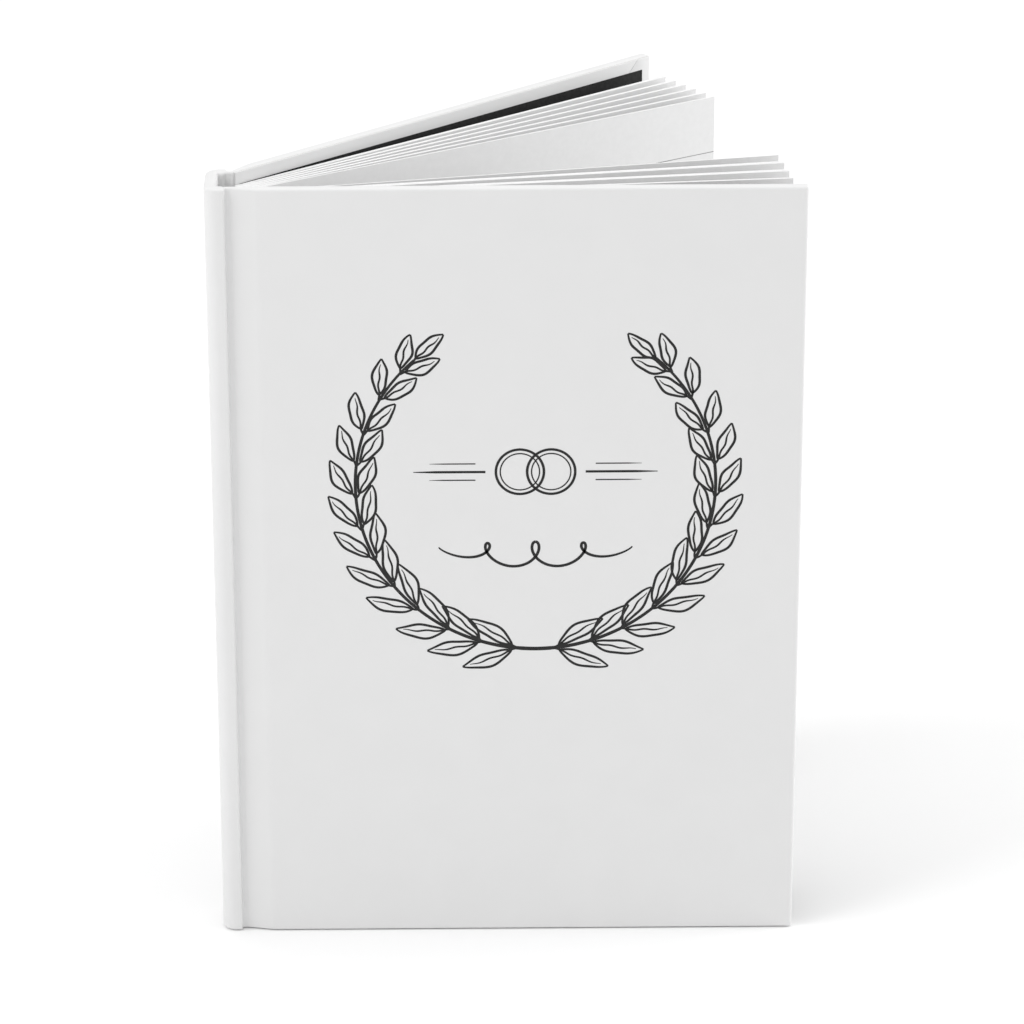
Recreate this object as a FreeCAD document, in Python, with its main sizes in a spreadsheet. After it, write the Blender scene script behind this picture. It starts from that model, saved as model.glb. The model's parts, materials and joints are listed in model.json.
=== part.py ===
"""Casebound guest book standing half open: case, endpapers and sewn page sections.

Frame: millimetres, +Z up along the spine, +X from the spine to the fore-edge of the
front cover, -Y out of the front cover. The origin is the middle of the spine's foot,
and the book stands on its tail edges at Z = 0. Every piece is drawn in the closed book
and then turned about its own joint to the half-open position it is stored in.
"""
import os

import FreeCAD
import Part
import Sketcher

UP = FreeCAD.Vector(0, 0, 1)
FRONT = -1
BACK = 1

DIMENSIONS = {
    # case
    "cover_height": 203.2,
    "cover_width": 147.6,
    "book_thick": 15.9,
    "cover_thick": 3.1,
    "wrap_skin": 0.3,
    "turn_in": 15.0,
    "spine_round": 3.5,
    # joints between the spine and the covers
    "groove_start": 4.8,
    "groove_wall": 0.4,
    "groove_end": 6.9,
    "groove_depth": 2.0,
    "ramp_end": 12.9,
    "board_start": 8.2,
    "joint_from_spine": 6.4,
    "joint_depth": 2.2,
    "joint_gap": 0.25,
    # linings and endpapers
    "endpaper_thick": 0.1,
    "head_square": 3.4,
    "fore_square": 2.9,
    "infill_thick": 0.2,
    "infill_play": 0.5,
    "gauze_thick": 0.1,
    "gauze_flap": 24.0,
    "gauze_short": 20.0,
    "lining_thick": 0.15,
    "lining_width": 13.0,
    # text block
    "root_from_spine": 6.4,
    "page_width": 139.1,
    "leaf_thick": 0.1,
    "section_pitch": 0.83,
    "middle_gap": 0.01,
    "flyleaf_gap": 0.05,
    "thread_radius": 0.12,
    "front_gauze_set": 0.8,
    "back_gauze_set": 0.45,
}
SHEETS_PER_SECTION = 4
SECTIONS_PER_SIDE = 5
MIDDLE_SECTION = 6
STITCH_STATIONS = 5

# Turns about +Z, in degrees, from the closed book to the half-open pose. The leaves fan evenly:
# each back section lags the one behind it by one step, and each front group, named by its first
# section, turns one step on top of the group in front of it.
BACK_COVER_TURN = 41.4
BACK_BLOCK_TURN = 38.3
BACK_FAN_STEP = 1.4
FRONT_BLOCK_TURN = 5.3
FRONT_FAN_STEP = 1.9
FRONT_GROUPS = (1, 2, 4, 6)

doc = FreeCAD.newDocument("guest_book")
sheet = doc.addObject("Spreadsheet::Sheet", "Dimensions")
for row, (alias, value) in enumerate(DIMENSIONS.items(), start=1):
    sheet.set(f"A{row}", alias)
    sheet.set(f"B{row}", str(value))
    sheet.setAlias(f"B{row}", alias)
doc.recompute()


def cell(alias):
    return f"Dimensions.{alias}"


def value_of(formula):
    """The number that a sheet formula gives, in millimetres."""
    result = sheet.evalExpression(formula)
    return float(getattr(result, "Value", result))


# Distances that several pieces share, written as sheet formulas
SPINE_OUT = f"(0 - {cell('cover_thick')} / 2)"
SPINE_IN = f"({cell('cover_thick')} / 2)"
OUTER = f"({cell('book_thick')} / 2)"
INNER = f"({cell('book_thick')} / 2 - {cell('cover_thick')})"
FLOOR = f"({cell('book_thick')} / 2 - {cell('groove_depth')})"
SKIN = cell("wrap_skin")
FORE = f"({SPINE_OUT} + {cell('cover_width')})"
ROOT = f"({SPINE_OUT} + {cell('root_from_spine')})"
JOINT_X = f"({SPINE_OUT} + {cell('joint_from_spine')})"
JOINT_Y = f"({OUTER} - {cell('joint_depth')})"
COVER_TALL = cell("cover_height")
BOARD_TALL = f"({COVER_TALL} - 2 * {SKIN})"
PAGE_FOOT = cell("head_square")
PAGE_TALL = f"({COVER_TALL} - 2 * {PAGE_FOOT})"
WINDOW_FOOT = cell("turn_in")
WINDOW_TALL = f"({COVER_TALL} - 2 * {WINDOW_FOOT})"


def from_spine(alias):
    return f"({SPINE_OUT} + {cell(alias)})"


# ---------------------------------------------------------------- drawing helpers
def padded(name, points, foot, tall):
    """A body padded upwards from a closed outline of straight sides."""
    body = doc.addObject("PartDesign::Body", name)
    plane = [part for part in body.Origin.OriginFeatures if part.Role == "XY_Plane"][0]
    sketch = body.newObject("Sketcher::SketchObject", name + "_outline")
    sketch.AttachmentSupport = (plane, "")
    sketch.MapMode = "FlatFace"
    corners = [FreeCAD.Vector(value_of(x), value_of(y), 0) for x, y in points]
    count = len(corners)
    for index, corner in enumerate(corners):
        sketch.addGeometry(Part.LineSegment(corner, corners[(index + 1) % count]), False)
    for index in range(count):
        sketch.addConstraint(Sketcher.Constraint("Coincident", index, 2, (index + 1) % count, 1))
    for index, (x_formula, y_formula) in enumerate(points):
        ways = (("DistanceX", x_formula, corners[index].x), ("DistanceY", y_formula, corners[index].y))
        for kind, formula, start in ways:
            number = sketch.addConstraint(Sketcher.Constraint(kind, -1, 1, index, 1, start))
            sketch.setExpression(f"Constraints[{number}]", formula)
    pad = body.newObject("PartDesign::Pad", name + "_pad")
    pad.Profile = sketch
    pad.setExpression("Length", tall)
    body.Tip = pad
    body.setExpression("Placement.Base.z", foot)
    doc.recompute()
    return body


def rounded_uprights(body, radius, inside_x):
    """Rounds the body's two upright edges that lie nearer the spine than inside_x."""
    pad = body.Tip
    names = []
    for index, edge in enumerate(pad.Shape.Edges, start=1):
        ends = edge.Vertexes
        upright = len(ends) == 2 and abs(ends[0].Z - ends[1].Z) > 1
        if upright and ends[0].X < inside_x:
            names.append(f"Edge{index}")
    fillet = body.newObject("PartDesign::Fillet", body.Name + "_round")
    fillet.Base = (pad, names)
    fillet.setExpression("Radius", radius)
    body.Tip = fillet
    doc.recompute()
    return body


def block(name, near, low, foot, deep, wide, tall):
    """A box from its lowest corner and its three sizes, all sheet formulas."""
    box = doc.addObject("Part::Box", name)
    box.setExpression("Length", deep)
    box.setExpression("Width", wide)
    box.setExpression("Height", tall)
    box.setExpression("Placement.Base.x", near)
    box.setExpression("Placement.Base.y", low)
    box.setExpression("Placement.Base.z", foot)
    return box


def side_block(name, side, near, inner, foot, deep, thick, tall):
    """A box on one side of the middle plane, from |Y| = inner outwards by thick."""
    low = inner if side == BACK else f"(0 - {inner} - {thick})"
    return block(name, near, low, foot, deep, thick, tall)


def cut(name, base, tool):
    piece = doc.addObject("Part::Cut", name)
    piece.Base = base
    piece.Tool = tool
    return piece


def turned(angle, x, y):
    """A turn about the upright line through (x, y)."""
    no_shift = FreeCAD.Vector(0, 0, 0)
    return FreeCAD.Placement(no_shift, FreeCAD.Rotation(UP, angle), FreeCAD.Vector(x, y, 0))


nodes = []


def node(name, pieces, placement=None):
    """A named sub-part: its pieces as drawn in the closed book, turned to the stored pose."""
    part = doc.addObject("Part::Compound", name + "_node")
    part.Links = pieces
    for piece in pieces:
        if piece.Label == name:
            piece.Label = name + "_closed"
    part.Label = name
    if placement is not None:
        part.Placement = placement
    nodes.append(part)
    return part


# ---------------------------------------------------------------- turns to the stored pose
NO_TURN = FreeCAD.Placement()
COVER_TURNS = {
    FRONT: NO_TURN,
    BACK: turned(BACK_COVER_TURN, value_of(JOINT_X), value_of(JOINT_Y)),
}
SIDE_NAMES = {FRONT: "front", BACK: "back"}
SECTION_HALF = SHEETS_PER_SECTION * DIMENSIONS["leaf_thick"]
LAST_SECTION = 2 * SECTIONS_PER_SIDE + 1


def section_middle(number):
    """Distance of a section's middle from the book's middle plane, as a sheet formula."""
    return f"({number - MIDDLE_SECTION} * {cell('section_pitch')})"


BLOCK_SIDE = f"({INNER} - {cell('endpaper_thick')} - {cell('flyleaf_gap')})"
BLOCK_TURN = turned(BACK_BLOCK_TURN, value_of(JOINT_X), value_of(JOINT_Y))


def section_turn(number, half=None):
    """How a section turns: about its own root, on top of the turns of the sections it leans on."""
    root = value_of(ROOT)
    if number < MIDDLE_SECTION or half == FRONT:
        placement = NO_TURN
        for start in FRONT_GROUPS:
            angle = FRONT_BLOCK_TURN if start == 1 else FRONT_FAN_STEP
            pivot_y = value_of(section_middle(start)) - SECTION_HALF
            if start == 1:
                pivot_y = -value_of(BLOCK_SIDE)
            if start == MIDDLE_SECTION:
                pivot_y = pivot_y - DIMENSIONS["middle_gap"]
            if start <= number:
                placement = placement.multiply(turned(angle, root, pivot_y))
        return placement
    if number == LAST_SECTION:
        return BLOCK_TURN
    pivot_y = value_of(section_middle(number)) + SECTION_HALF
    if number == MIDDLE_SECTION:
        pivot_y = pivot_y + DIMENSIONS["middle_gap"]
    lag = BACK_FAN_STEP * (LAST_SECTION - number)
    return BLOCK_TURN.multiply(turned(-lag, root, pivot_y))


# ---------------------------------------------------------------- spine of the case
def spine_pieces():
    board_edge = f"({OUTER} - {SKIN})"
    board_out = f"({SPINE_OUT} + {SKIN})"
    board_in = f"({SPINE_IN} - {SKIN})"
    gap_edge = f"({JOINT_X} - {cell('joint_gap')})"
    far = from_spine("groove_start")

    blank = padded(
        "spine_board_blank",
        [
            (board_out, f"0 - {board_edge}"),
            (far, f"0 - {board_edge}"),
            (far, board_edge),
            (board_out, board_edge),
        ],
        SKIN,
        BOARD_TALL,
    )
    rounded_uprights(blank, f"{cell('spine_round')} - {SKIN}", value_of(board_in))
    beyond = block(
        "spine_board_inside",
        board_in,
        f"0 - {OUTER}",
        "0",
        cell("cover_width"),
        cell("book_thick"),
        COVER_TALL,
    )
    board = cut("spine_board", blank, beyond)

    wall_foot = f"({far} + {cell('groove_wall')})"
    half_outline = [
        (gap_edge, f"({FLOOR} - {SKIN})"),
        (gap_edge, FLOOR),
        (wall_foot, FLOOR),
        (far, OUTER),
        (SPINE_OUT, OUTER),
    ]
    skin_inside = [
        (SPINE_IN, board_edge),
        (f"({far} - {SKIN})", board_edge),
        (f"({wall_foot} - {SKIN})", f"({FLOOR} - {SKIN})"),
    ]
    back_half = skin_inside + half_outline
    front_half = [(x, f"0 - {y}") for x, y in reversed(back_half)]
    envelope = padded("spine_wrap_blank", back_half + front_half, "0", COVER_TALL)
    rounded_uprights(envelope, cell("spine_round"), value_of(SPINE_OUT) + 0.1)
    window = block(
        "spine_wrap_window",
        board_in,
        f"0 - {board_edge}",
        WINDOW_FOOT,
        SKIN,
        f"2 * {board_edge}",
        WINDOW_TALL,
    )
    wrap = cut("spine_wrap", cut("spine_wrap_pocketed", envelope, board), window)

    lining = block(
        "spine_lining",
        board_in,
        f"0 - {cell('lining_width')} / 2",
        WINDOW_FOOT,
        cell("lining_thick"),
        cell("lining_width"),
        WINDOW_TALL,
    )
    node("spine_board", [board])
    node("spine_wrap", [wrap])
    node("spine_lining", [lining])


# ---------------------------------------------------------------- covers
def cover_pieces(side):
    """Board, printed wrap with turn-ins, infill card, gauze flap and pastedown of one cover."""
    name = SIDE_NAMES[side]
    placement = COVER_TURNS[side]
    sign = f"{side} * "
    start = from_spine("board_start")
    ramp_end = from_spine("ramp_end")
    ramp_foot = from_spine("groove_end")
    gap_edge = f"({JOINT_X} + {cell('joint_gap')})"
    board_in = f"({INNER} + {SKIN})"
    rise = f"({cell('groove_depth')} * ({start} - {ramp_foot}) / ({ramp_end} - {ramp_foot}))"
    board_low = f"({FLOOR} + {rise} - {SKIN})"
    board_fore = f"({FORE} - {SKIN})"

    board = padded(
        f"{name}_board",
        [
            (start, sign + board_in),
            (start, sign + board_low),
            (ramp_end, sign + f"({OUTER} - {SKIN})"),
            (board_fore, sign + f"({OUTER} - {SKIN})"),
            (board_fore, sign + board_in),
        ],
        SKIN,
        BOARD_TALL,
    )
    envelope = padded(
        f"{name}_wrap_blank",
        [
            (gap_edge, sign + FLOOR),
            (ramp_foot, sign + FLOOR),
            (ramp_end, sign + OUTER),
            (FORE, sign + OUTER),
            (FORE, sign + INNER),
            (start, sign + INNER),
            (start, sign + f"({FLOOR} - {SKIN})"),
            (gap_edge, sign + f"({FLOOR} - {SKIN})"),
        ],
        "0",
        COVER_TALL,
    )
    window_deep = f"({FORE} - {cell('turn_in')} - {start})"
    window = side_block(
        f"{name}_window", side, start, INNER, WINDOW_FOOT, window_deep, SKIN, WINDOW_TALL
    )
    wrap = cut(f"{name}_wrap", cut(f"{name}_wrap_pocketed", envelope, board), window)

    play = cell("infill_play")
    infill = side_block(
        f"{name}_infill",
        side,
        f"({start} + {play})",
        f"({board_in} - {cell('infill_thick')})",
        f"({WINDOW_FOOT} + {play})",
        f"({window_deep} - 2 * {play})",
        cell("infill_thick"),
        f"({WINDOW_TALL} - 2 * {play})",
    )
    flap = side_block(
        f"{name}_gauze_flap",
        side,
        start,
        INNER,
        cell("gauze_short"),
        cell("gauze_flap"),
        cell("gauze_thick"),
        f"({COVER_TALL} - 2 * {cell('gauze_short')})",
    )
    pastedown = side_block(
        f"{name}_pastedown",
        side,
        start,
        f"({INNER} - {cell('endpaper_thick')})",
        PAGE_FOOT,
        f"({FORE} - {cell('fore_square')} - {start})",
        cell("endpaper_thick"),
        PAGE_TALL,
    )
    for label, piece in (
        ("board", board),
        ("wrap", wrap),
        ("infill", infill),
        ("gauze_flap", flap),
        ("pastedown", pastedown),
    ):
        node(f"{name}_{label}", [piece], placement)


# ---------------------------------------------------------------- text block
def folded_sheet(order):
    """One sheet folded round the sheets inside it; order 1 is the innermost of a section."""
    leaf = cell("leaf_thick")
    outer = f"({order} * {leaf})"
    inner = f"({order - 1} * {leaf})"
    fold_x = f"({ROOT} + {SHEETS_PER_SECTION} * {leaf})"
    flat_deep = f"({cell('page_width')} - {SHEETS_PER_SECTION} * {leaf})"

    def slot(name, radius):
        flats = block(
            name + "_flats", fold_x, f"0 - {radius}", PAGE_FOOT, flat_deep, f"2 * {radius}", PAGE_TALL
        )
        fold = doc.addObject("Part::Cylinder", name + "_fold")
        fold.setExpression("Radius", radius)
        fold.setExpression("Height", PAGE_TALL)
        fold.setExpression("Placement.Base.x", fold_x)
        fold.setExpression("Placement.Base.z", PAGE_FOOT)
        both = doc.addObject("Part::Fuse", name)
        both.Base = flats
        both.Tool = fold
        return both

    whole = slot(f"sheet_{order}_outside", outer)
    if order == 1:
        return whole
    return cut(f"sheet_{order}", whole, slot(f"sheet_{order}_inside", inner))


def section_pieces():
    """Eleven sections of nested folded sheets; the middle one lies open in two halves."""
    sheets = [folded_sheet(order) for order in range(1, SHEETS_PER_SECTION + 1)]
    doc.recompute()
    for number in range(1, LAST_SECTION + 1):
        if number == MIDDLE_SECTION:
            continue
        in_place = doc.addObject("Part::Compound", f"section_{number}_closed")
        in_place.Links = sheets
        in_place.setExpression("Placement.Base.y", section_middle(number))
        node(f"section_{number:02d}", [in_place], section_turn(number))
    for side in (FRONT, BACK):
        leaves = []
        for order in range(SHEETS_PER_SECTION):
            inner = f"({cell('middle_gap')} + {order} * {cell('leaf_thick')})"
            leaves.append(
                side_block(
                    f"{SIDE_NAMES[side]}_middle_leaf_{order + 1}",
                    side,
                    ROOT,
                    inner,
                    PAGE_FOOT,
                    cell("page_width"),
                    cell("leaf_thick"),
                    PAGE_TALL,
                )
            )
        name = f"section_{MIDDLE_SECTION:02d}_{SIDE_NAMES[side]}_leaves"
        node(name, leaves, section_turn(MIDDLE_SECTION, side))


def backing_pieces(side):
    """Flyleaf, gauze and sewing thread of one half of the text block."""
    name = SIDE_NAMES[side]
    turn = section_turn(LAST_SECTION if side == BACK else 1)
    flyleaf = side_block(
        f"{name}_flyleaf",
        side,
        ROOT,
        f"({BLOCK_SIDE} - {cell('endpaper_thick')})",
        PAGE_FOOT,
        cell("page_width"),
        cell("endpaper_thick"),
        PAGE_TALL,
    )
    node(f"{name}_flyleaf", [flyleaf], turn)

    near_middle = f"({cell('section_pitch')} / 2)"
    wide = f"({BLOCK_SIDE} - {cell('endpaper_thick')} - {near_middle})"
    gauze_x = f"({ROOT} - {cell(name + '_gauze_set')})"
    gauze = side_block(
        f"{name}_gauze",
        side,
        gauze_x,
        near_middle,
        cell("gauze_short"),
        cell("gauze_thick"),
        wide,
        f"({COVER_TALL} - 2 * {cell('gauze_short')})",
    )
    node(f"{name}_gauze", [gauze], turn)

    threads = []
    for station in range(1, STITCH_STATIONS + 1):
        thread = doc.addObject("Part::Cylinder", f"{name}_thread_{station}")
        thread.setExpression("Radius", cell("thread_radius"))
        thread.setExpression("Height", wide)
        thread.Placement.Rotation = FreeCAD.Rotation(FreeCAD.Vector(1, 0, 0), -90 * side)
        height = f"{PAGE_FOOT} + {PAGE_TALL} * {station} / {STITCH_STATIONS + 1}"
        thread_x = f"{gauze_x} + {cell('gauze_thick')} + {cell('thread_radius')}"
        thread.setExpression("Placement.Base.x", thread_x)
        thread.setExpression("Placement.Base.y", f"{side} * {near_middle}")
        thread.setExpression("Placement.Base.z", height)
        threads.append(thread)
    node(f"{name}_sewing_thread", threads, turn)


# ---------------------------------------------------------------- build, check and write
spine_pieces()
for side in (FRONT, BACK):
    cover_pieces(side)
section_pieces()
for side in (FRONT, BACK):
    backing_pieces(side)
doc.recompute()

for item in doc.Objects:
    if "Invalid" in item.State or "Error" in item.State:
        raise RuntimeError(f"{item.Name} did not build: {item.State}")
os.makedirs("parts", exist_ok=True)
for part in nodes:
    shape = part.Shape
    if shape.isNull() or not shape.isValid():
        raise RuntimeError(f"{part.Label} has no valid shape")
    if any(solid.Volume <= 0 for solid in shape.Solids) or not shape.Solids:
        raise RuntimeError(f"{part.Label} has no solid")
    shape.exportStep(f"parts/{part.Label}.step")
    print(f"{part.Label:32s} {len(shape.Solids)} solids {shape.Volume:10.1f} mm3")
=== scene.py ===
"""Looks of the standing, half-open guest book: laminated case, black endpapers, lined leaves.

Pieces are drawn in the closed book, in millimetres, and then turned to the stored pose
by the same hinges that the CAD frame records. Metres are used only where meshes are made.
"""
import json
import math
import random

import bmesh
import bpy
from mathutils import Matrix, Vector

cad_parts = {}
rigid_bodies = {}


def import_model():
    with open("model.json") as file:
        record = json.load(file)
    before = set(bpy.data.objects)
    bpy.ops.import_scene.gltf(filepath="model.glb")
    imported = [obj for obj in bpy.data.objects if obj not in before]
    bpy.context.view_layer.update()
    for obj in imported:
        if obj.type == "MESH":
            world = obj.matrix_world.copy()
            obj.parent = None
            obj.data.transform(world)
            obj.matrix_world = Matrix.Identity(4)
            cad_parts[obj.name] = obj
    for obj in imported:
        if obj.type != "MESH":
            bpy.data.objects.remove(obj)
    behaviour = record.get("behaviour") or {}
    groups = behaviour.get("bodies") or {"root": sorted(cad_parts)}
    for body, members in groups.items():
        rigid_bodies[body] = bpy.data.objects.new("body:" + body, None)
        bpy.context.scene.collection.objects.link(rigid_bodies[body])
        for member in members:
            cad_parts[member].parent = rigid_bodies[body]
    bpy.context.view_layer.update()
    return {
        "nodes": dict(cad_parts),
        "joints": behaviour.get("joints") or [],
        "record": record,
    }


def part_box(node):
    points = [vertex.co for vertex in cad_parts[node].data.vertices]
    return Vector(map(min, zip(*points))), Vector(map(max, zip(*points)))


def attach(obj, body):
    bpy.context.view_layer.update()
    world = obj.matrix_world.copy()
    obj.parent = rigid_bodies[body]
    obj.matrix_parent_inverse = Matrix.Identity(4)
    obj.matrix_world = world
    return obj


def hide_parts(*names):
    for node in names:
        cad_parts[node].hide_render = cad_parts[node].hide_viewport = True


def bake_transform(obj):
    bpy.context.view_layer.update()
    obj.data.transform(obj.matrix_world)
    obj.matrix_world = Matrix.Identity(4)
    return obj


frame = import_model()

MM = 0.001
FRONT = -1
BACK = 1
SIDE_NAMES = {FRONT: "front", BACK: "back"}
UP = Vector((0, 0, 1))

# ---------------------------------------------------------------- sizes read from the frame, in mm
wrap_low, wrap_high = [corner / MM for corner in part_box("front_wrap")]
spine_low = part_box("spine_wrap")[0] / MM
page_low, page_high = [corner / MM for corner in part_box("front_flyleaf")]
HEIGHT = wrap_high.z
FORE = wrap_high.x
OUTER = -wrap_low.y
INNER = -wrap_high.y
SPINE_OUT = spine_low.x
PAGE_FOOT = page_low.z
PAGE_HEAD = page_high.z
ROOT = page_low.x

# ---------------------------------------------------------------- sizes of the binding, in mm
BOARD = 3.1
SPINE_IN = SPINE_OUT + BOARD
SHOULDER_END = SPINE_OUT + 4.8
GROOVE_IN = SHOULDER_END + 0.5
GROOVE_OUT = SPINE_OUT + 6.5
GROOVE_FLOOR = OUTER - 1.5
JOINT_RECESS = 0.45
RAMP_END = SPINE_OUT + 12.9
SPINE_ROUND = 3.5
TURN_IN = 15.0
TURN_IN_THICK = 0.3
MITRE_SET = 4.0
EDGE_ROUND = 0.75
EDGE_STEPS = 5
JOINT_START = SPINE_OUT + 4.0
PAGE_WIDTH = 139.1
LEAF = 0.1
SECTION_PITCH = 0.83
MIDDLE_SECTION = 6
LEAVES = 8
FIRST_RULE = 15.0
RULE_PITCH = 7.1
RULE_WIDTH = 0.22

scene = bpy.context.scene

# ---------------------------------------------------------------- closed book to stored pose
joints = {joint["child"]: joint for joint in frame["joints"]}
ratios = {row["joint"]: row["ratio"] for row in frame["record"]["behaviour"]["couplings"]}
BACK_OPEN = -joints["back_cover"]["range_deg"][0]


def about(point, angle):
    """A turn of angle degrees about the upright line through a point given in metres."""
    place = Matrix.Translation(point)
    return place @ Matrix.Rotation(math.radians(angle), 4, UP) @ place.inverted()


def stored(body):
    """The matrix that takes a piece of this body from the closed book to the stored pose."""
    joint = joints.get(body)
    if joint is None or body == "front_cover":
        return Matrix.Identity(4)
    ratio = 1.0 if body == "back_cover" else ratios[joint["name"]]
    return about(Vector(joint["pos_m"]), BACK_OPEN * ratio) @ stored(joint["parent"])


# ---------------------------------------------------------------- materials
def new_material(name, color, roughness, specular=0.35):
    material = bpy.data.materials.new(name)
    material.use_nodes = True
    shader = material.node_tree.nodes["Principled BSDF"]
    shader.inputs["Base Color"].default_value = (*color, 1)
    shader.inputs["Roughness"].default_value = roughness
    shader.inputs["Specular IOR Level"].default_value = specular
    return material, material.node_tree, shader


def noise(tree, scale, detail=4.0, stretch=(1, 1, 1)):
    """Noise in the object's own coordinates, scale in cycles per metre."""
    place = tree.nodes.new("ShaderNodeTexCoord")
    mapping = tree.nodes.new("ShaderNodeMapping")
    mapping.inputs["Scale"].default_value = stretch
    texture = tree.nodes.new("ShaderNodeTexNoise")
    texture.inputs["Scale"].default_value = scale
    texture.inputs["Detail"].default_value = detail
    tree.links.new(place.outputs["Object"], mapping.inputs["Vector"])
    tree.links.new(mapping.outputs["Vector"], texture.inputs["Vector"])
    return texture.outputs["Fac"]


def ramp(tree, factor, low_color, high_color, low=0.3, high=0.7):
    node = tree.nodes.new("ShaderNodeValToRGB")
    node.color_ramp.elements[0].position = low
    node.color_ramp.elements[0].color = (*low_color, 1)
    node.color_ramp.elements[1].position = high
    node.color_ramp.elements[1].color = (*high_color, 1)
    tree.links.new(factor, node.inputs["Fac"])
    return node.outputs["Color"]


def bump(tree, shader, height, strength, distance):
    node = tree.nodes.new("ShaderNodeBump")
    node.inputs["Strength"].default_value = strength
    node.inputs["Distance"].default_value = distance
    tree.links.new(height, node.inputs["Height"])
    tree.links.new(node.outputs["Normal"], shader.inputs["Normal"])


def gray(level):
    return (level, level, level)


def number(tree, operation, first, second):
    """A maths node; each input is a plain number or another node's output."""
    node = tree.nodes.new("ShaderNodeMath")
    node.operation = operation
    for socket, source in zip(node.inputs, (first, second)):
        if hasattr(source, "links"):
            tree.links.new(source, socket)
        else:
            socket.default_value = source
    return node.outputs["Value"]


def wrap_material():
    """White printed paper under a matte film: fibres barely felt, sheen slightly uneven."""
    material, tree, shader = new_material("laminated_wrap", gray(0.76), 0.42, 0.3)
    tree.links.new(
        ramp(tree, noise(tree, 90, 3), gray(0.745), gray(0.755)), shader.inputs["Base Color"]
    )
    rough = tree.nodes.new("ShaderNodeMapRange")
    rough.inputs["To Min"].default_value = 0.38
    rough.inputs["To Max"].default_value = 0.5
    tree.links.new(noise(tree, 260, 5), rough.inputs["Value"])
    tree.links.new(rough.outputs["Result"], shader.inputs["Roughness"])
    bump(tree, shader, noise(tree, 2600, 3), 0.05, 0.00004)
    return material


def page_material(name, ruled):
    """Smooth uncoated paper, with ruled lines at even heights if it is for writing on."""
    material, tree, shader = new_material(name, gray(0.9), 0.7, 0.2)
    # The unruled paper is painted lighter than the ruled paper. It serves the flyleaves and the leaves'
    # cut edges, and on those edges the extra lightness is a painted highlight standing for light falling
    # on them.
    light = 0.82 if ruled else 0.89
    fibres = ramp(tree, noise(tree, 700, 4), gray(light - 0.012), gray(light + 0.012))
    bump(tree, shader, noise(tree, 3200, 4), 0.12, 0.00005)
    if not ruled:
        tree.links.new(fibres, shader.inputs["Base Color"])
        return material
    place = tree.nodes.new("ShaderNodeTexCoord")
    parts = tree.nodes.new("ShaderNodeSeparateXYZ")
    tree.links.new(place.outputs["Object"], parts.inputs["Vector"])

    below = number(tree, "SUBTRACT", (PAGE_HEAD - FIRST_RULE) * MM, parts.outputs["Z"])
    phase = number(tree, "PINGPONG", below, RULE_PITCH / 2 * MM)
    on_line = number(tree, "LESS_THAN", phase, RULE_WIDTH / 2 * MM)
    under_head = number(tree, "GREATER_THAN", below, -RULE_WIDTH * MM)
    ruled_height = (PAGE_HEAD - PAGE_FOOT - 2 * FIRST_RULE) * MM
    above_foot = number(tree, "LESS_THAN", below, ruled_height)
    printed = number(tree, "MULTIPLY", number(tree, "MULTIPLY", on_line, under_head), above_foot)
    mix = tree.nodes.new("ShaderNodeMix")
    mix.data_type = "RGBA"
    tree.links.new(printed, mix.inputs["Factor"])
    tree.links.new(fibres, mix.inputs["A"])
    mix.inputs["B"].default_value = (0.3, 0.3, 0.3, 1)
    tree.links.new(mix.outputs["Result"], shader.inputs["Base Color"])
    return material


def black_paper_material():
    material, tree, shader = new_material("black_endpaper", gray(0.02), 0.75, 0.2)
    tree.links.new(ramp(tree, noise(tree, 1500, 5), gray(0.017), gray(0.03)), shader.inputs["Base Color"])
    bump(tree, shader, noise(tree, 3000, 4), 0.2, 0.00006)
    return material


def ink_material():
    material, tree, shader = new_material("printed_ink", gray(0.012), 0.45, 0.3)
    tree.links.new(ramp(tree, noise(tree, 900, 3), gray(0.010), gray(0.016)), shader.inputs["Base Color"])
    return material


def board_material():
    material, tree, shader = new_material("greyboard", (0.4, 0.38, 0.34), 0.9, 0.1)
    flecks = noise(tree, 1800, 6)
    tree.links.new(ramp(tree, flecks, (0.30, 0.28, 0.25), (0.47, 0.45, 0.41)), shader.inputs["Base Color"])
    bump(tree, shader, flecks, 0.3, 0.0001)
    return material


def kraft_material():
    material, tree, shader = new_material("kraft_lining", (0.5, 0.36, 0.2), 0.85, 0.15)
    laid = noise(tree, 500, 5, (1, 1, 6))
    tree.links.new(ramp(tree, laid, (0.42, 0.29, 0.16), (0.56, 0.41, 0.25)), shader.inputs["Base Color"])
    bump(tree, shader, laid, 0.25, 0.00008)
    return material


def woven_material(name, dark, light, thread_pitch):
    """An open plain weave: two crossed bands of thread, in the object's own coordinates."""
    material, tree, shader = new_material(name, light, 0.9, 0.1)
    place = tree.nodes.new("ShaderNodeTexCoord")
    heights = []
    for direction in ("Y", "Z"):
        wave = tree.nodes.new("ShaderNodeTexWave")
        wave.bands_direction = direction
        wave.inputs["Scale"].default_value = 0.05 / (thread_pitch * MM)
        wave.inputs["Distortion"].default_value = 0.6
        tree.links.new(place.outputs["Object"], wave.inputs["Vector"])
        heights.append(wave.outputs["Fac"])
    weave = number(tree, "MAXIMUM", heights[0], heights[1])
    tree.links.new(ramp(tree, weave, dark, light, 0.35, 0.8), shader.inputs["Base Color"])
    bump(tree, shader, weave, 0.6, 0.0001)
    return material


WRAP = wrap_material()
PAPER = page_material("page_paper", True)
FLYLEAF_PAPER_AND_PAINTED_EDGE_LIGHT = page_material("flyleaf_paper", False)
BLACK = black_paper_material()
INK = ink_material()
GREYBOARD = board_material()
KRAFT = kraft_material()
GAUZE = woven_material("gauze", (0.5, 0.48, 0.43), (0.86, 0.84, 0.78), 0.9)
THREAD = woven_material("sewing_thread", (0.7, 0.69, 0.65), (0.9, 0.89, 0.85), 0.2)


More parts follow.
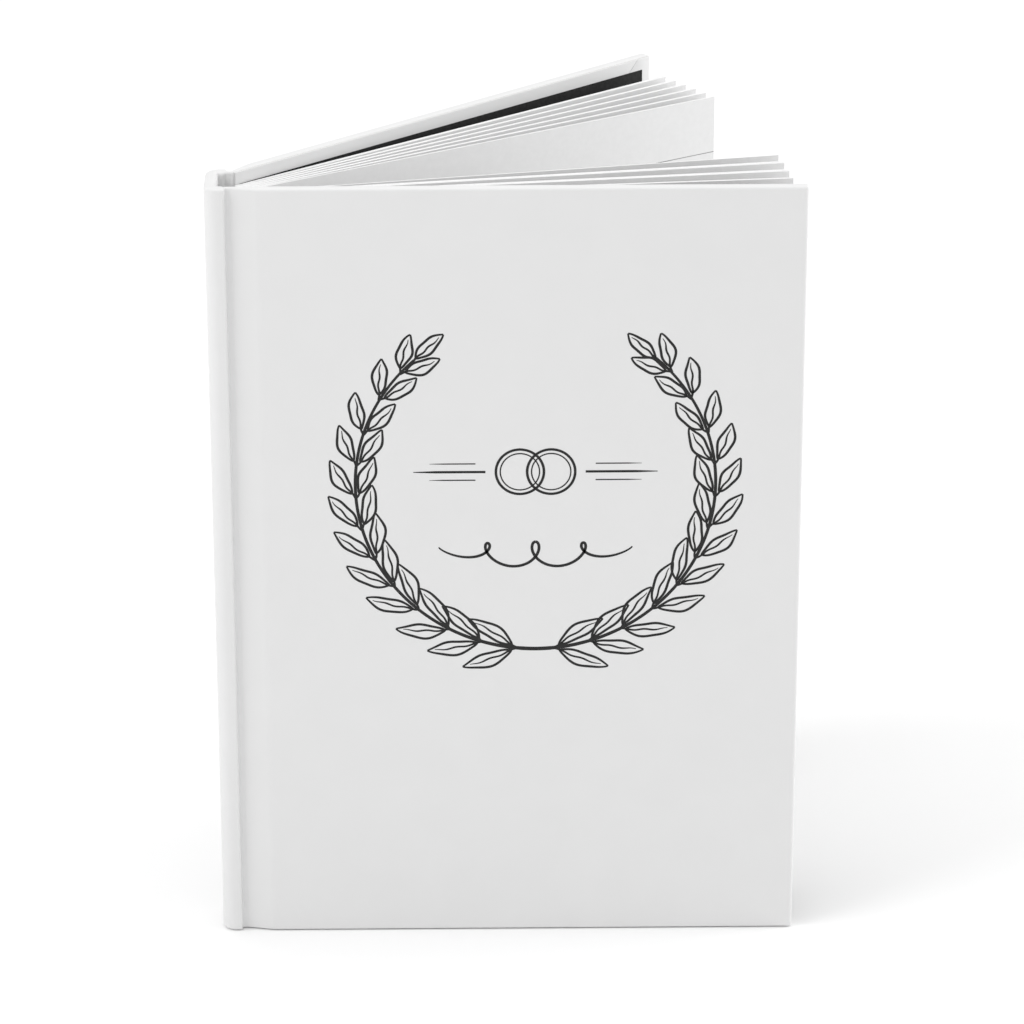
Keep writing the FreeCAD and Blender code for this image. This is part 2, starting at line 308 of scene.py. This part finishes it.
def dress_cad_nodes():
    by_word = (
        ("board", GREYBOARD),
        ("wrap", WRAP),
        ("infill", KRAFT),
        ("gauze", GAUZE),
        ("pastedown", BLACK),
        ("flyleaf", FLYLEAF_PAPER_AND_PAINTED_EDGE_LIGHT),
        ("lining", KRAFT),
        ("thread", THREAD),
        ("section", PAPER),
    )
    for name, piece in frame["nodes"].items():
        for word, material in by_word:
            if word in name:
                piece.data.materials.clear()
                piece.data.materials.append(material)


# ---------------------------------------------------------------- mesh helpers
def add_piece(name, mesh, material, body):
    piece = bpy.data.objects.new(name, mesh)
    scene.collection.objects.link(piece)
    mesh.materials.append(material)
    if body is not None:
        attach(piece, body)
    return piece


def mesh_from(name, shape, matrix=None, sharp=32.0):
    bmesh.ops.recalc_face_normals(shape, faces=shape.faces)
    if matrix is not None:
        bmesh.ops.transform(shape, matrix=matrix, verts=shape.verts)
    mesh = bpy.data.meshes.new(name)
    shape.to_mesh(mesh)
    shape.free()
    for face in mesh.polygons:
        face.use_smooth = True
    mesh.set_sharp_from_angle(angle=math.radians(sharp))
    return mesh


def case_ring(inner, outer, inset=0.0):
    """The case's cut across at one place along X: (y, z) in mm, its corners rounded."""
    low_y, high_y = inner + inset, outer - inset
    foot, head = inset, HEIGHT - inset
    round_by = max(EDGE_ROUND - inset, 0.05)
    round_by = min(round_by, (high_y - low_y) / 2 - 0.02)
    corners = (
        (high_y, foot, -90, -1, 1),
        (high_y, head, 0, -1, -1),
        (low_y, head, 90, 1, -1),
        (low_y, foot, 180, 1, 1),
    )
    ring = []
    for y, z, start, toward_y, toward_z in corners:
        center = (y + toward_y * round_by, z + toward_z * round_by)
        ring += arc(center, round_by, start, start + 90, EDGE_STEPS)
    return ring


def loft(name, rows, side, matrix_at, sharp=32.0):
    """A closed solid through rings at places along X, each row set by its own matrix."""
    shape = bmesh.new()
    grid = []
    for x, ring in rows:
        matrix = matrix_at(x)
        grid.append([shape.verts.new(matrix @ Vector((x * MM, y * side * MM, z * MM))) for y, z in ring])
    size = len(grid[0])
    for first, second in zip(grid, grid[1:]):
        for column in range(size):
            after = (column + 1) % size
            shape.faces.new((first[column], first[after], second[after], second[column]))
    shape.faces.new(grid[0])
    shape.faces.new(list(reversed(grid[-1])))
    return mesh_from(name, shape, sharp=sharp)


def arc(center, radius, start, end, steps):
    """Points of an arc in mm, angles in degrees."""
    turns = [math.radians(start + (end - start) * step / steps) for step in range(steps + 1)]
    return [(center[0] + radius * math.cos(turn), center[1] + radius * math.sin(turn)) for turn in turns]


# ---------------------------------------------------------------- case
def spine_case():
    """The wrapped spine board with its rounded shoulders, drawn up to the two joints."""
    shoulder = arc((SPINE_OUT + SPINE_ROUND, OUTER - SPINE_ROUND), SPINE_ROUND, 90, 180, 12)
    back_side = [(SPINE_IN, INNER), (JOINT_START, INNER), (JOINT_START, OUTER)] + shoulder
    outline = back_side + [(x, -y) for x, y in reversed(back_side)]
    shape = bmesh.new()
    low = [shape.verts.new((x * MM, y * MM, 0)) for x, y in outline]
    high = [shape.verts.new((x * MM, y * MM, HEIGHT * MM)) for x, y in outline]
    shape.faces.new(list(reversed(low)))
    shape.faces.new(high)
    count = len(outline)
    for index in range(count):
        after = (index + 1) % count
        shape.faces.new((low[index], low[after], high[after], high[index]))
    bmesh.ops.recalc_face_normals(shape, faces=shape.faces)

    def at_joint(edge):
        return all(abs(vert.co.x - JOINT_START * MM) < 1e-6 for vert in edge.verts)

    rim = [e for e in shape.edges if abs(e.verts[0].co.z - e.verts[1].co.z) < 1e-9 and not at_joint(e)]
    bmesh.ops.bevel(
        shape,
        geom=rim,
        offset=EDGE_ROUND * MM,
        segments=EDGE_STEPS,
        profile=0.5,
        affect="EDGES",
        clamp_overlap=True,
    )
    piece = add_piece("spine_case", mesh_from("spine_case", shape), WRAP, "spine")
    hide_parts("spine_wrap")


def joint_case(side):
    """The wrap that bends in the groove between the spine and one cover."""
    name = SIDE_NAMES[side]
    hinge = Vector(joints[f"{name}_cover"]["pos_m"])
    turn = BACK_OPEN if side == BACK else 0.0
    fall = GROOVE_IN - SHOULDER_END

    def outer_at(x):
        if x <= SHOULDER_END:
            return OUTER
        share = min((x - SHOULDER_END) / fall, 1)
        return OUTER - (OUTER - GROOVE_FLOOR) * share * share * (3 - 2 * share)

    def inner_at(x):
        return INNER + JOINT_RECESS * min(max((x - SHOULDER_END + 0.4) / 0.4, 0), 1)

    def matrix_at(x):
        share = min(max((x - GROOVE_IN) / (GROOVE_OUT - 0.1 - GROOVE_IN), 0), 1)
        return about(hinge, turn * share * share * (3 - 2 * share))

    places = [JOINT_START, SHOULDER_END - 0.4]
    places += [SHOULDER_END + fall * step / 10 for step in range(11)]
    places += [GROOVE_IN + (GROOVE_OUT - GROOVE_IN) * step / 12 for step in range(1, 13)]
    rows = [(x, case_ring(inner_at(x), outer_at(x))) for x in places]
    mesh = loft(f"{name}_joint_wrap", rows, side, matrix_at, 50.0)
    piece = add_piece(f"{name}_joint_wrap", mesh, WRAP, None)
    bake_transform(piece)


def cover_case(side):
    """One wrapped board: its pressed slope beside the groove, rounded edges and mitred turn-ins."""
    name = SIDE_NAMES[side]
    body = f"{name}_cover"
    matrix = stored(body)
    inside = INNER + TURN_IN_THICK
    slope = (OUTER - GROOVE_FLOOR) / (RAMP_END - GROOVE_OUT)
    rows = [
        (GROOVE_OUT, case_ring(INNER + JOINT_RECESS, GROOVE_FLOOR)),
        (GROOVE_OUT + 0.3, case_ring(INNER + JOINT_RECESS, GROOVE_FLOOR + 0.3 * slope)),
        (GROOVE_OUT + 0.4, case_ring(inside, GROOVE_FLOOR + 0.4 * slope)),
        (RAMP_END - 0.45, case_ring(inside, OUTER - 0.45 * slope - 0.02)),
        (RAMP_END - 0.1, case_ring(inside, OUTER - 0.075)),
        (RAMP_END + 0.2, case_ring(inside, OUTER - 0.02)),
        (RAMP_END + 0.6, case_ring(inside, OUTER)),
    ]
    steps = 6
    for step in range(steps + 1):
        turn = math.pi / 2 * step / steps
        inset = EDGE_ROUND * (1 - math.cos(turn))
        rows.append((FORE - EDGE_ROUND * (1 - math.sin(turn)), case_ring(inside, OUTER, inset)))
    mesh = loft(f"{name}_cover_case", rows, side, lambda x: matrix, 14.0)
    case = add_piece(f"{name}_cover_case", mesh, WRAP, body)
    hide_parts(f"{name}_wrap")
    turn_ins(side, matrix)


def turn_ins(side, matrix):
    """Three strips of wrap folded over the board's edges, meeting in mitres at the corners."""
    name = SIDE_NAMES[side]
    edge = 0.28
    seam = 0.12
    start = GROOVE_OUT + 0.4
    meet = FORE - MITRE_SET
    strips = {
        "head_turn_in": [
            (start, HEIGHT - edge),
            (meet - edge - seam, HEIGHT - edge),
            (meet - TURN_IN - seam, HEIGHT - TURN_IN),
            (start, HEIGHT - TURN_IN),
        ],
        "tail_turn_in": [
            (start, edge),
            (start, TURN_IN),
            (meet - TURN_IN - seam, TURN_IN),
            (meet - edge - seam, edge),
        ],
        "fore_turn_in": [
            (FORE - edge, HEIGHT - edge),
            (FORE - edge, edge),
            (meet - edge, edge),
            (meet - TURN_IN, TURN_IN),
            (FORE - TURN_IN, TURN_IN),
            (FORE - TURN_IN, HEIGHT - TURN_IN),
            (meet - TURN_IN, HEIGHT - TURN_IN),
            (meet - edge, HEIGHT - edge),
        ],
    }
    for label, corners in strips.items():
        shape = bmesh.new()
        near = [shape.verts.new((x * MM, side * INNER * MM, z * MM)) for x, z in corners]
        far_y = side * (INNER + TURN_IN_THICK + 0.02) * MM
        far = [shape.verts.new((x * MM, far_y, z * MM)) for x, z in corners]
        shape.faces.new(near)
        shape.faces.new(list(reversed(far)))
        for index in range(len(corners)):
            after = (index + 1) % len(corners)
            shape.faces.new((near[index], far[index], far[after], near[after]))
        bmesh.ops.recalc_face_normals(shape, faces=shape.faces)
        rim = [e for e in shape.edges if e.calc_face_angle(0) > 1 and all(v in near for v in e.verts)]
        bmesh.ops.bevel(shape, geom=rim, offset=0.06 * MM, segments=2, profile=0.5, affect="EDGES")
        mesh = mesh_from(f"{name}_{label}", shape, matrix)
        add_piece(f"{name}_{label}", mesh, WRAP, f"{name}_cover")


# ---------------------------------------------------------------- text block
def leaf_stack(name, body, middle, count, folded, replaces):
    """A section's leaves, each with its own slightly uneven edge, folded at the root in pairs."""
    source = random.Random(name)
    matrix = stored(body)
    shape = bmesh.new()
    gap = 0.008

    def strip(points, foot, head):
        """A thin closed strip: points give (x, y) of both faces, walked round."""
        low = [shape.verts.new((x * MM, y * MM, foot * MM)) for x, y in points]
        high = [shape.verts.new((x * MM, y * MM, head * MM)) for x, y in points]
        for index in range(len(points)):
            after = (index + 1) % len(points)
            shape.faces.new((low[index], low[after], high[after], high[index]))
        half = len(points) // 2
        for index in range(half - 1):
            other = len(points) - 1 - index
            quad = (index, index + 1, other - 1, other)
            shape.faces.new([low[corner] for corner in reversed(quad)])
            shape.faces.new([high[corner] for corner in quad])

    def edges():
        return source.uniform(0, 0.09), source.uniform(0, 0.05), source.uniform(0, 0.05)

    if folded:
        sheets = count // 2
        fold_x = ROOT + sheets * LEAF
        for order in range(1, sheets + 1):
            short, foot_cut, head_cut = edges()
            outer = order * LEAF - gap / 2
            inner = (order - 1) * LEAF + gap / 2
            fore = ROOT + PAGE_WIDTH - short
            bend = [
                (fold_x + radius * math.cos(turn), middle + radius * math.sin(turn))
                for radius, turn in fold_walk(outer, inner)
            ]
            outside = [(fore, middle - outer)] + bend[: len(bend) // 2] + [(fore, middle + outer)]
            inside = [(fore, middle + inner)] + bend[len(bend) // 2 :] + [(fore, middle - inner)]
            strip(outside + inside, PAGE_FOOT + foot_cut, PAGE_HEAD - head_cut)
    else:
        for order in range(count):
            short, foot_cut, head_cut = edges()
            low_y = middle + (order - count / 2) * LEAF + gap / 2
            high_y = low_y + LEAF - gap
            fore = ROOT + PAGE_WIDTH - short
            outline = [(ROOT, low_y), (fore, low_y), (fore, high_y), (ROOT, high_y)]
            strip(outline, PAGE_FOOT + foot_cut, PAGE_HEAD - head_cut)
    mesh = mesh_from(name, shape, matrix)
    piece = add_piece(name, mesh, PAPER, body)
    # Faces at the head, foot and ends of the leaves take the lighter unruled paper: no ruled lines there,
    # and a painted highlight on the edges.
    mesh.materials.append(FLYLEAF_PAPER_AND_PAINTED_EDGE_LIGHT)
    along = matrix.to_3x3() @ Vector((1, 0, 0))
    for face in mesh.polygons:
        if abs(face.normal.dot(along)) > 0.7 or abs(face.normal.z) > 0.7:
            face.material_index = 1
    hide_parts(replaces)


def fold_walk(outer, inner):
    """Radius and angle round a fold: along its outside and back along its inside."""
    steps = 8
    turns = [math.pi * 1.5 - math.pi * step / steps for step in range(steps + 1)]
    return [(outer, turn) for turn in turns] + [(inner, turn) for turn in reversed(turns)]


def text_block():
    homes = {}
    for body, members in frame["record"]["behaviour"]["bodies"].items():
        for member in members:
            homes[member] = body
    for number in range(1, 2 * MIDDLE_SECTION):
        middle = (number - MIDDLE_SECTION) * SECTION_PITCH
        if number == MIDDLE_SECTION:
            for side in (FRONT, BACK):
                node = f"section_{number:02d}_{SIDE_NAMES[side]}_leaves"
                half_middle = side * (LEAVES / 4 * LEAF + 0.01)
                name = f"middle_{SIDE_NAMES[side]}_leaves"
                leaf_stack(name, homes[node], half_middle, LEAVES // 2, False, node)
            continue
        node = f"section_{number:02d}"
        leaf_stack(f"leaves_{number:02d}", homes[node], middle, LEAVES, True, node)


# ---------------------------------------------------------------- printed line art
ART_CENTER = Vector((SPINE_OUT + 81.0, 125.0))
ART_RADIUS = 45.0
LINE = 0.7
INK_RISE = 0.02
LEAF_PAIRS = 12
LEAF_SPREAD = 34
LEAF_LONG = 13.5
LEAF_SHRINK = 4.5
LEAF_WIDE = 3.6
BRANCH_START = -5.0
BRANCH_END = 138.0


class Print:
    """Ink strokes on the front cover, gathered into one mesh; points are (x, z) in mm."""

    def __init__(self):
        self.shape = bmesh.new()
        self.layer = 0

    def stroke(self, points, width, taper=(1.0, 1.0)):
        """A ribbon along points; taper gives its relative width at both ends."""
        self.layer += 1
        y = -(OUTER + INK_RISE + self.layer * 0.00004) * MM
        count = len(points)
        pairs = []
        for index, point in enumerate(points):
            before = points[max(index - 1, 0)]
            after = points[min(index + 1, count - 1)]
            along = (after - before).normalized()
            across = Vector((-along.y, along.x))
            share = index / (count - 1)
            swell = min(share, 1 - share) * 2
            end = taper[0] if share < 0.5 else taper[1]
            half = width / 2 * (end + (1 - end) * min(swell * 1.6, 1))
            rims = (point + across * half, point - across * half)
            pairs.append([self.shape.verts.new((rim.x * MM, y, rim.y * MM)) for rim in rims])
        for first, second in zip(pairs, pairs[1:]):
            self.shape.faces.new((first[0], first[1], second[1], second[0]))


def heading(angle):
    return Vector((math.cos(math.radians(angle)), math.sin(math.radians(angle))))


def bow(start, angle, length, bend, steps=14):
    """Points of a line that starts at an angle and turns by bend degrees over its length."""
    points = [start.copy()]
    for step in range(steps):
        turn = angle + bend * (step + 0.5) / steps
        points.append(points[-1] + heading(turn) * (length / steps))
    return points


def across_of(points, index):
    along = (points[min(index + 1, len(points) - 1)] - points[max(index - 1, 0)]).normalized()
    return Vector((-along.y, along.x))


def drawn_leaf(art, start, angle, stalk, length, width, bend, hand):
    """A pointed leaf in outline, drawn a little unevenly, with a midrib and a stalk."""
    steps = 30
    line = bow(start, angle, stalk + length, bend, steps)
    first = round(steps * stalk / (stalk + length))
    wave = hand.uniform(0, 6)
    lean = hand.uniform(0.8, 1.2)
    for side in (1, -1):
        edge = []
        for index in range(first, steps + 1):
            share = (index - first) / (steps - first)
            belly = math.sin(math.pi * share ** 0.92) ** 0.85 * width / 2
            belly *= 1 + 0.12 * math.sin(9 * share + wave + side)
            belly *= lean if side == 1 else 2 - lean
            edge.append(line[index] + across_of(line, index) * belly * side)
        art.stroke(edge, LINE * 0.95, (0.85, 0.7))
    rib = []
    for index in range(int(steps * 0.9)):
        rib.append(line[index] + across_of(line, index) * 0.16 * math.sin(0.55 * index + wave))
    art.stroke(rib, LINE * 0.72, (1.2, 0.35))


def branch(art, side):
    """One side of a laurel: even pairs of leaves on an arc that starts under its middle."""
    hand = random.Random(11)
    steps = 90
    stem = []
    for step in range(steps + 1):
        turn = math.radians(BRANCH_START + (BRANCH_END - BRANCH_START) * step / steps)
        stem.append(ART_CENTER + Vector((side * math.sin(turn), -math.cos(turn))) * ART_RADIUS)
    art.stroke(stem, LINE * 1.15, (1.3, 0.8))

    def heading_at(index):
        ahead = stem[min(index + 1, steps)] - stem[index - 1]
        return math.degrees(math.atan2(ahead.y, ahead.x))

    for order in range(LEAF_PAIRS):
        share = (order + 1) / (LEAF_PAIRS + 0.6)
        index = round(share * steps)
        for lean in (1, -1):
            angle = heading_at(index) + lean * LEAF_SPREAD
            length = LEAF_LONG - LEAF_SHRINK * share
            drawn_leaf(art, stem[index], angle, 1.5, length, LEAF_WIDE, -lean * 14, hand)
    drawn_leaf(art, stem[-1], heading_at(steps), 0.5, 9.5, 3.4, 0, hand)


def middle_ornament(art):
    """Two linked rings between tapering lines, over a looped flourish."""
    middle = Vector((ART_CENTER.x, 128.5))
    for shift in (-3.9, 3.9):
        center = middle + Vector((shift, 0))
        for radius, weight in ((6.0, 0.95), (4.9, 0.5)):
            art.stroke([center + heading(step * 6) * radius for step in range(61)], LINE * weight)
    for side in (-1, 1):
        start = middle + Vector((side * 12.5, 0))
        for height, near, far, weight in ((0, 0, 18, 0.9), (2.2, 2.5, 14, 0.45), (-2.2, 2.5, 14, 0.45)):
            reaches = [near + (far - near) * step / 10 for step in range(11)]
            line = [start + Vector((side * reach, height)) for reach in reaches]
            art.stroke(line, LINE * weight, (1.0, 0.3))
    low = Vector((ART_CENTER.x, 109.5))
    for side in (-1, 1):
        curl = []
        for step in range(121):
            share = step / 120
            x = 24.0 * share - 3.4 * math.sin(4 * math.pi * share) * (1 - 0.3 * share)
            z = 3.9 * math.cos(4 * math.pi * share) * (1 - share) ** 0.6 + 2.0 * share - 3.9
            curl.append(low + Vector((side * x, z)))
        art.stroke(curl, LINE * 1.05, (1.0, 0.35))


def cover_art():
    art = Print()
    for side in (-1, 1):
        branch(art, side)
    middle_ornament(art)
    mesh = mesh_from("cover_line_art", art.shape)
    add_piece("cover_line_art", mesh, INK, "front_cover")


# ---------------------------------------------------------------- floor, light and camera
def stage():
    bpy.ops.mesh.primitive_plane_add(size=8, location=(0, 2.2, -0.0002))
    floor = bpy.context.object
    floor.name = "floor"
    material, tree, shader = new_material("floor_paint", gray(0.93), 0.9, 0.05)
    tree.links.new(ramp(tree, noise(tree, 3), gray(0.925), gray(0.935)), shader.inputs["Base Color"])
    floor.data.materials.append(material)

    world = bpy.data.worlds.new("studio")
    scene.world = world
    world.use_nodes = True
    background = world.node_tree.nodes["Background"]
    background.inputs["Color"].default_value = (1, 1, 1, 1)
    background.inputs["Strength"].default_value = 0.71

    def lamp(name, place, target, size, power):
        light = bpy.data.lights.new(name, "AREA")
        light.shape = "RECTANGLE"
        light.size, light.size_y = size
        light.energy = power
        holder = bpy.data.objects.new(name, light)
        scene.collection.objects.link(holder)
        holder.location = place
        holder.rotation_euler = (Vector(target) - Vector(place)).to_track_quat("-Z", "Y").to_euler()

    lamp("key", (-1.5, -0.62, 1.4), (0.07, 0.03, 0.1), (1.2, 1.2), 14.0)
    lamp("overhead", (0.1, 0.2, 2.2), (0.07, 0.03, 0.0), (2.4, 2.4), 15.0)
    lamp("fill", (1.9, 0.15, 0.7), (0.07, 0.03, 0.1), (1.4, 1.4), 16.0)


def camera():
    """The viewing angle: a long lens in front of the book and above it, looking down."""
    yaw, pitch, roll = (math.radians(angle) for angle in (0.671, 22.996, -0.074))
    forward = Vector((math.sin(yaw) * math.cos(pitch), math.cos(yaw) * math.cos(pitch), -math.sin(pitch)))
    right = Vector((math.cos(yaw), -math.sin(yaw), 0))
    upward = right.cross(forward)
    right_rolled = right * math.cos(roll) + upward * math.sin(roll)
    up_rolled = upward * math.cos(roll) - right * math.sin(roll)
    data = bpy.data.cameras.new("camera")
    data.sensor_width = 36
    data.lens = 168.23
    data.clip_end = 50
    holder = bpy.data.objects.new("camera", data)
    scene.collection.objects.link(holder)
    turn = Matrix((right_rolled, up_rolled, -forward)).transposed().to_4x4()
    holder.matrix_world = Matrix.Translation((0.06065, -1.11035, 0.5855)) @ turn
    scene.camera = holder


camera()
dress_cad_nodes()
spine_case()
for side in (FRONT, BACK):
    cover_case(side)
    joint_case(side)
text_block()
cover_art()
stage()
scene.view_settings.view_transform = "Standard"
